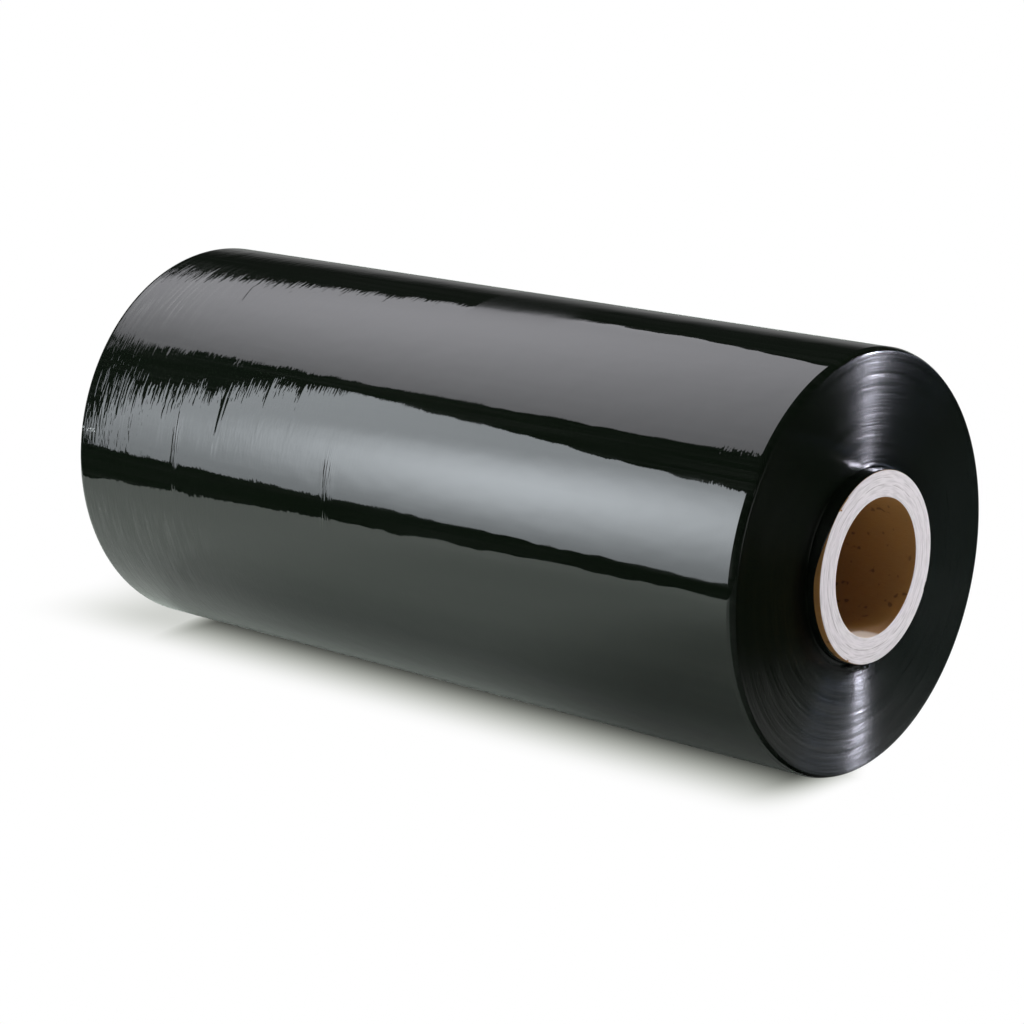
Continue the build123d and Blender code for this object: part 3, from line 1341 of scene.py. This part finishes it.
@dataclass
class TornEnd:
    """A crumpled scrap of the first turn's end, stuck under the core at the near end.

    Its place is x along the roll, the turn in degrees and the radius.
    """

    half_sizes: tuple = (2.2 * MM, 13.5 * MM, 2.2 * MM)
    place: tuple = (252.2 * MM, 175.5, 56.2 * MM)
    segments: int = 40
    rings: int = 20
    crumple: float = 1.3 * MM
    taper: float = 0.75
    crease_angle: float = 50.0
    seed: int = 3

    def crush(self, piece: Piece) -> None:
        """Crumples the scrap, less towards its tips, and bends it round the core.

        Args:
            piece: the scrap.
        """
        _, _, radius = self.place
        points = points_of(piece)
        luck = np.random.RandomState(self.seed)
        taper = 1 - self.taper * (points[:, 1] / self.half_sizes[1]) ** 2
        for axis in (0, 2):
            points[:, axis] += self.crumple * luck.uniform(-0.5, 0.5, len(points)) * taper
        points[:, 2] -= points[:, 1] ** 2 / (2 * radius)
        set_points(piece, points)

    def build(self) -> Piece:
        """Models, shades, dresses and places the scrap.

        Returns:
            The scrap.
        """
        deselect_all()
        bpy.ops.mesh.primitive_uv_sphere_add(segments=self.segments, ring_count=self.rings, radius=1.0)
        piece = bpy.context.object
        piece.name = piece.data.name = "torn_film_end"
        bpy.ops.object.mode_set(mode="EDIT")
        bpy.ops.mesh.select_all(action="SELECT")
        bpy.ops.transform.resize(value=self.half_sizes, center_override=(0, 0, 0))
        bpy.ops.object.mode_set(mode="OBJECT")
        self.crush(piece)
        x, turn, radius = self.place
        tilt = turn * DEGREE
        bpy.ops.object.mode_set(mode="EDIT")
        bpy.ops.mesh.select_all(action="SELECT")
        bpy.ops.transform.rotate(value=-tilt, orient_axis="X", center_override=(0, 0, 0))
        bpy.ops.transform.translate(value=(x, -radius * math.sin(tilt),
                                           SIZES.axis_height + radius * math.cos(tilt)))
        close_and_smooth(piece, self.crease_angle)
        piece.data.materials.append(bpy.data.materials[GlossyFilm.name])
        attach(piece, "root")
        return piece


# The studio

class Panel(Enum):
    """The light panels of the studio."""

    OVERHEAD = "overhead_softbox"
    FRONT = "front_softbox"
    BACK_HIGH = "back_strip_high"
    FLAG = "black_flag"
    BACK = "back_strip"
    BACK_WINGS = "back_strip_wings"
    BACK_LEFT = "back_left_softbox"
    RIM = "rim_softbox"
    CARD = "white_card"
    MATTE_TOP = "top_lamp"
    MATTE_SPOT = "spot_lamp"
    MATTE_BACK = "back_lamp"
    MATTE_FRONT = "front_lamp"


class Reach(Enum):
    """Which surfaces a panel lights: those that mirror it, or the matte ones."""

    GLOSS = "gloss"
    MATTE = "matte"


@dataclass(frozen=True)
class Softbox:
    """A light panel: corners in millimetres, brighter upwards, with a glow round one point."""

    panel: Panel
    reach: Reach
    corners: tuple
    colour: str
    strength: float
    lift: tuple = (0.0, 1.0, 1.0)
    hot_point: tuple = (0.0, 0.0, 0.0)
    hot_strength: float = 0.0
    hot_reach: tuple = (1.0, 1.0, 1.0)
    blocks_light: bool = False

    def finish(self) -> bpy.types.Material:
        """Makes the panel's glowing material.

        Returns:
            The material.
        """
        material, tree = new_material(self.panel.value)
        here = add_node(tree, "TexCoord", output="Object")
        away = add_node(tree, "VectorMath", here, in_metres(self.hot_point), operation="SUBTRACT")
        scaled = add_node(tree, "VectorMath", away, in_metres(self.hot_reach), operation="DIVIDE")
        distance = add_node(tree, "VectorMath", scaled, operation="LENGTH", output="Value")
        height = add_node(tree, "SeparateXYZ", here).node.outputs["Z"]
        low, high, share = self.lift
        rise = add_node(tree, "MapRange", height, low * MM, high * MM, share * self.strength,
                        self.strength)
        strength = join(tree, Ramp(distance, 0.0, 1.0, self.hot_strength, 0.0), rise, operation="ADD")
        add_node(tree, "OutputMaterial", add_node(tree, "Emission", linear(self.colour), strength))
        return material

    def build(self) -> None:
        """Makes the panel, which the camera doesn't see."""
        mesh = bpy.data.meshes.new(self.panel.value)
        mesh.from_pydata([in_metres(corner) for corner in self.corners], [],
                         [tuple(range(len(self.corners)))])
        mesh.materials.append(self.finish())
        panel = bpy.data.objects.new(self.panel.value, mesh)
        bpy.context.scene.collection.objects.link(panel)
        panel.visible_camera = False
        panel.visible_shadow = self.blocks_light
        panel.visible_diffuse = self.reach is Reach.MATTE
        panel.visible_glossy = self.reach is Reach.GLOSS


@dataclass(frozen=True)
class WhiteTable:
    """A white table top, white to the camera but for the shade under and beside the roll.

    What the film mirrors of it is brighter past the roll's far end and dimmer past its near end,
    and past the table's front edge it is the dark studio. Places are in metres. A shade is how
    far it reaches across the roll, its depth, and where it ends along the roll.
    """

    half_size: float = 6.0
    colour: str = "#f2f2f1"
    mirrored_colour: str = "#f0fbf3"
    shade_colour: str = "#f9fff1"
    edge_direction: tuple = (0.592, 0.806, 0.0)
    edge_distance: float = -0.569
    end_distance: float = 0.243
    past_end: tuple = (-0.05, -0.13, 0.0, 0.22)
    dim: tuple = (0.0, 0.16, 1.0, 0.48)
    bright: tuple = (-0.10, -0.27, 0.05, 0.22)
    under: tuple = (-0.03, -0.085)
    glow_place: tuple = (0.30, 0.085, 0.0)
    glow: tuple = (0.15, 0.0, 0.0, 0.56)
    shades: tuple = (((0.010, 0.101), 1.0, ((-0.225, -0.262), (0.226, 0.262))),
                     ((0.040, 0.104), 0.36, ((-0.262, -0.366), (0.224, 0.258))))
    slant: float = 0.5
    slant_start: float = -0.01

    def mirrored(self, tree: Tree, place: Socket) -> tuple:
        """Works out how a glossy surface sees the table.

        Args:
            tree: the material's tree.
            place: the place on the table.

        Returns:
            The share of the table's colour that is left, and the light that is added.
        """
        parts = add_node(tree, "SeparateXYZ", place).node.outputs
        x, y = parts["X"], parts["Y"]
        along = add_node(tree, "VectorMath", place, self.edge_direction, operation="DOT_PRODUCT",
                         output="Value")
        inside = add_node(tree, "Math", along, self.edge_distance, operation="GREATER_THAN")
        before = add_node(tree, "Math", x, self.end_distance, operation="LESS_THAN")
        lit = join(tree, join(tree, before, Ramp(y, *self.past_end), operation="MAXIMUM"), inside)
        added = join(tree, Ramp(x, *self.bright), Ramp(y, *self.under), lit)
        away = add_node(tree, "VectorMath", place, self.glow_place, operation="DISTANCE", output="Value")
        return (join(tree, lit, Ramp(x, *self.dim)),
                join(tree, added, Ramp(away, *self.glow), operation="ADD"))

    def whiteness(self, tree: Tree, place: Socket) -> Socket:
        """Works out how white the camera sees the table, with the soft shade that follows the roll.

        Args:
            tree: the material's tree.
            place: the place on the table.

        Returns:
            The level, 1 where the table is plain white.
        """
        parts = add_node(tree, "SeparateXYZ", place).node.outputs
        across = add_node(tree, "Math", parts["Y"], operation="ABSOLUTE")
        behind = add_node(tree, "Math", parts["Y"], self.slant_start, operation="SUBTRACT")
        behind = join(tree, behind, 0.0, operation="MAXIMUM")
        along = add_node(tree, "Math", behind, self.slant, parts["X"], operation="MULTIPLY_ADD")
        shades = [join(tree, Ramp(across, *reach, 1.0, 0.0), depth,
                       *(Ramp(along, *end, 1.0, 0.0) for end in ends))
                  for reach, depth, ends in self.shades]
        darkest = join(tree, *shades, operation="MAXIMUM")
        return add_node(tree, "Math", 1.0, darkest, operation="SUBTRACT")

    def finish(self) -> bpy.types.Material:
        """Makes the table's material.

        Returns:
            The material.
        """
        material, tree = new_material("white_table_top")
        here = add_node(tree, "TexCoord", output="Object")
        rays = add_node(tree, "LightPath").node.outputs
        glossy, camera = rays["Is Glossy Ray"], rays["Is Camera Ray"]
        kept, added = self.mirrored(tree, here)
        share = 1.0
        for ray, level in ((glossy, kept), (camera, 0.0)):
            share = add_node(tree, "Mix", ray, inputs={2: share, 3: level}, data_type="FLOAT")
        plain = add_node(tree, "Mix", glossy, **BLENDS_COLOURS, inputs={
            6: linear(self.colour), 7: linear(self.mirrored_colour)})
        colour = add_node(tree, "Mix", share, inputs={6: linear("#000000"), 7: plain}, **BLENDS_COLOURS)
        white = self.whiteness(tree, here)
        tint = add_node(tree, "Mix", white, **BLENDS_COLOURS, inputs={
            6: linear(self.shade_colour), 7: linear("#ffffff")})
        strength = join(tree, join(tree, white, camera), join(tree, added, glossy), operation="ADD")
        both = add_node(tree, "AddShader", add_node(tree, "BsdfDiffuse", colour),
                        add_node(tree, "Emission", tint, strength))
        add_node(tree, "OutputMaterial", both)
        return material

    def build(self) -> None:
        """Makes the table."""
        deselect_all()
        bpy.ops.mesh.primitive_plane_add(size=2 * self.half_size, location=(0, 0, 0))
        table = bpy.context.object
        table.name = "white_table"
        table.data.materials.append(self.finish())


@dataclass
class Studio:
    """The table, the softboxes, the surroundings and the camera.

    The black flag keeps the light of the back strips off the roll's back.
    """

    camera_place: tuple = (1115.7, -1306.7, 548.6)
    azimuth: float = 40.5 * DEGREE
    elevation: float = 14.45 * DEGREE
    sensor: float = 36.0
    lens: float = 104.81
    clip: tuple = (0.05, 50.0)
    fill: float = 0.20
    walls: tuple = (0.0, 0.29, 0.28, 0.012)
    walls_side: tuple = (-0.3, 0.2, 1.0, 0.1)
    panels: tuple = (
        Softbox(Panel.OVERHEAD, Reach.GLOSS,
                ((-1400, -490, 1000), (-150, -490, 1000), (-250, 560, 1000), (-486, 720, 1000),
                 (-735, 933, 1000), (-880, 960, 1000), (-1016, 802, 1000), (-1115, 677, 1000),
                 (-1176, 490, 1000), (-1400, 300, 1000)),
                "#f9f8ff", 1.5, hot_point=(-680, 20, 1000), hot_strength=1.35,
                hot_reach=(900, 900, 900)),
        Softbox(Panel.FRONT, Reach.GLOSS,
                ((-985, -800, 54), (-1212, -800, 1259), (-120, -800, 652), (-120, -800, 54)),
                "#f2f9ff", 4.6, lift=(50, 450, 0.64), hot_point=(-480, -800, 440),
                hot_strength=4.8, hot_reach=(500, 500, 420)),
        Softbox(Panel.BACK, Reach.GLOSS,
                ((897, 879, 241), (861, 909, 219), (742, 812, 414), (778, 782, 436)),
                "#eeeeff", 190.0),
        Softbox(Panel.BACK_HIGH, Reach.GLOSS,
                ((778, 782, 436), (742, 812, 414), (623, 828, 609), (659, 798, 631)),
                "#eeeeff", 370.0),
        Softbox(Panel.BACK_WINGS, Reach.GLOSS,
                ((1225, 1410, 281), (1004, 1590, 146), (625, 1590, 765), (846, 1410, 900)),
                "#dfe6ff", 2.1),
        Softbox(Panel.FLAG, Reach.GLOSS,
                ((263, 145, 0), (263, 900, 0), (263, 900, 700), (263, 145, 700)),
                "#000000", 0.0, blocks_light=True),
        Softbox(Panel.BACK_LEFT, Reach.GLOSS,
                ((250, 1650, 60), (780, 1650, 60), (780, 1650, 800), (250, 1650, 800)),
                "#c8d6ff", 2.0),
        Softbox(Panel.RIM, Reach.GLOSS,
                ((600, 1270, 1150), (1000, 1270, 1150), (1000, 1670, 1150), (600, 1670, 1150)),
                "#ffffff", 7.0),
        Softbox(Panel.CARD, Reach.GLOSS,
                ((1500, -1000, 150), (1300, 100, 150), (1300, 100, 1100), (1500, -1000, 1100)),
                "#ffffff", 1.0),
        Softbox(Panel.MATTE_TOP, Reach.MATTE,
                ((-500, -300, 1500), (300, -300, 1500), (300, 900, 1500), (-500, 900, 1500)),
                "#ffffff", 4.2),
        Softbox(Panel.MATTE_SPOT, Reach.MATTE,
                ((350, 60, 1300), (600, 60, 1300), (600, 310, 1300), (350, 310, 1300)),
                "#fffdf8", 10.0),
        Softbox(Panel.MATTE_BACK, Reach.MATTE,
                ((1060, 1500, 250), (1380, 1220, 250), (1380, 1220, 1050), (1060, 1500, 1050)),
                "#ffffff", 27.0),
        Softbox(Panel.MATTE_FRONT, Reach.MATTE,
                ((-1050, -1000, 20), (150, -1000, 20), (150, -1000, 900), (-1050, -1000, 900)),
                "#ffffff", 3.6),
    )

    def surroundings(self) -> None:
        """Makes the world white to the camera, plain to matte faces and dark to glossy ones."""
        world = bpy.data.worlds.new("studio")
        bpy.context.scene.world = world
        world.use_nodes = True
        tree = world.node_tree
        tree.nodes.clear()
        rays = add_node(tree, "LightPath").node.outputs
        here = add_node(tree, "TexCoord", output="Generated")
        parts = add_node(tree, "SeparateXYZ", here).node.outputs
        mirrored = join(tree, Ramp(parts["Z"], *self.walls), Ramp(parts["X"], *self.walls_side))
        strength = self.fill
        for ray, level in ((rays["Is Glossy Ray"], mirrored), (rays["Is Camera Ray"], 1.0)):
            strength = add_node(tree, "Mix", ray, inputs={2: strength, 3: level}, data_type="FLOAT")
        background = add_node(tree, "Background", linear("#ffffff"), strength)
        add_node(tree, "OutputWorld", background)

    def camera(self) -> None:
        """Places the camera at the photograph's viewing angle."""
        data = bpy.data.cameras.new("camera")
        data.sensor_width = self.sensor
        data.lens = self.lens
        data.clip_start, data.clip_end = self.clip
        camera = bpy.data.objects.new("camera", data)
        bpy.context.scene.collection.objects.link(camera)
        back = Vector((math.sin(self.azimuth) * math.cos(self.elevation),
                       -math.cos(self.azimuth) * math.cos(self.elevation), math.sin(self.elevation)))
        camera.location = Vector(self.camera_place) * MM
        camera.rotation_mode = "QUATERNION"
        camera.rotation_quaternion = (-back).to_track_quat("-Z", "Y")
        bpy.context.scene.camera = camera

    def build(self) -> None:
        """Builds the whole studio."""
        WhiteTable().build()
        for softbox in self.panels:
            softbox.build()
        self.surroundings()
        self.camera()
        bpy.context.scene.view_settings.view_transform = "Standard"


def main() -> None:
    """Builds and reports the pieces in order, then builds the studio round them."""
    logging.basicConfig(level=logging.INFO)
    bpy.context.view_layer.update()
    for part in (WoundFilm(), PaperCore(), TornEnd()):
        piece = part.build()
        log.info("%s: %d faces", piece.name, len(piece.data.polygons))
    Studio().build()


if __name__ == "__main__":
    main()
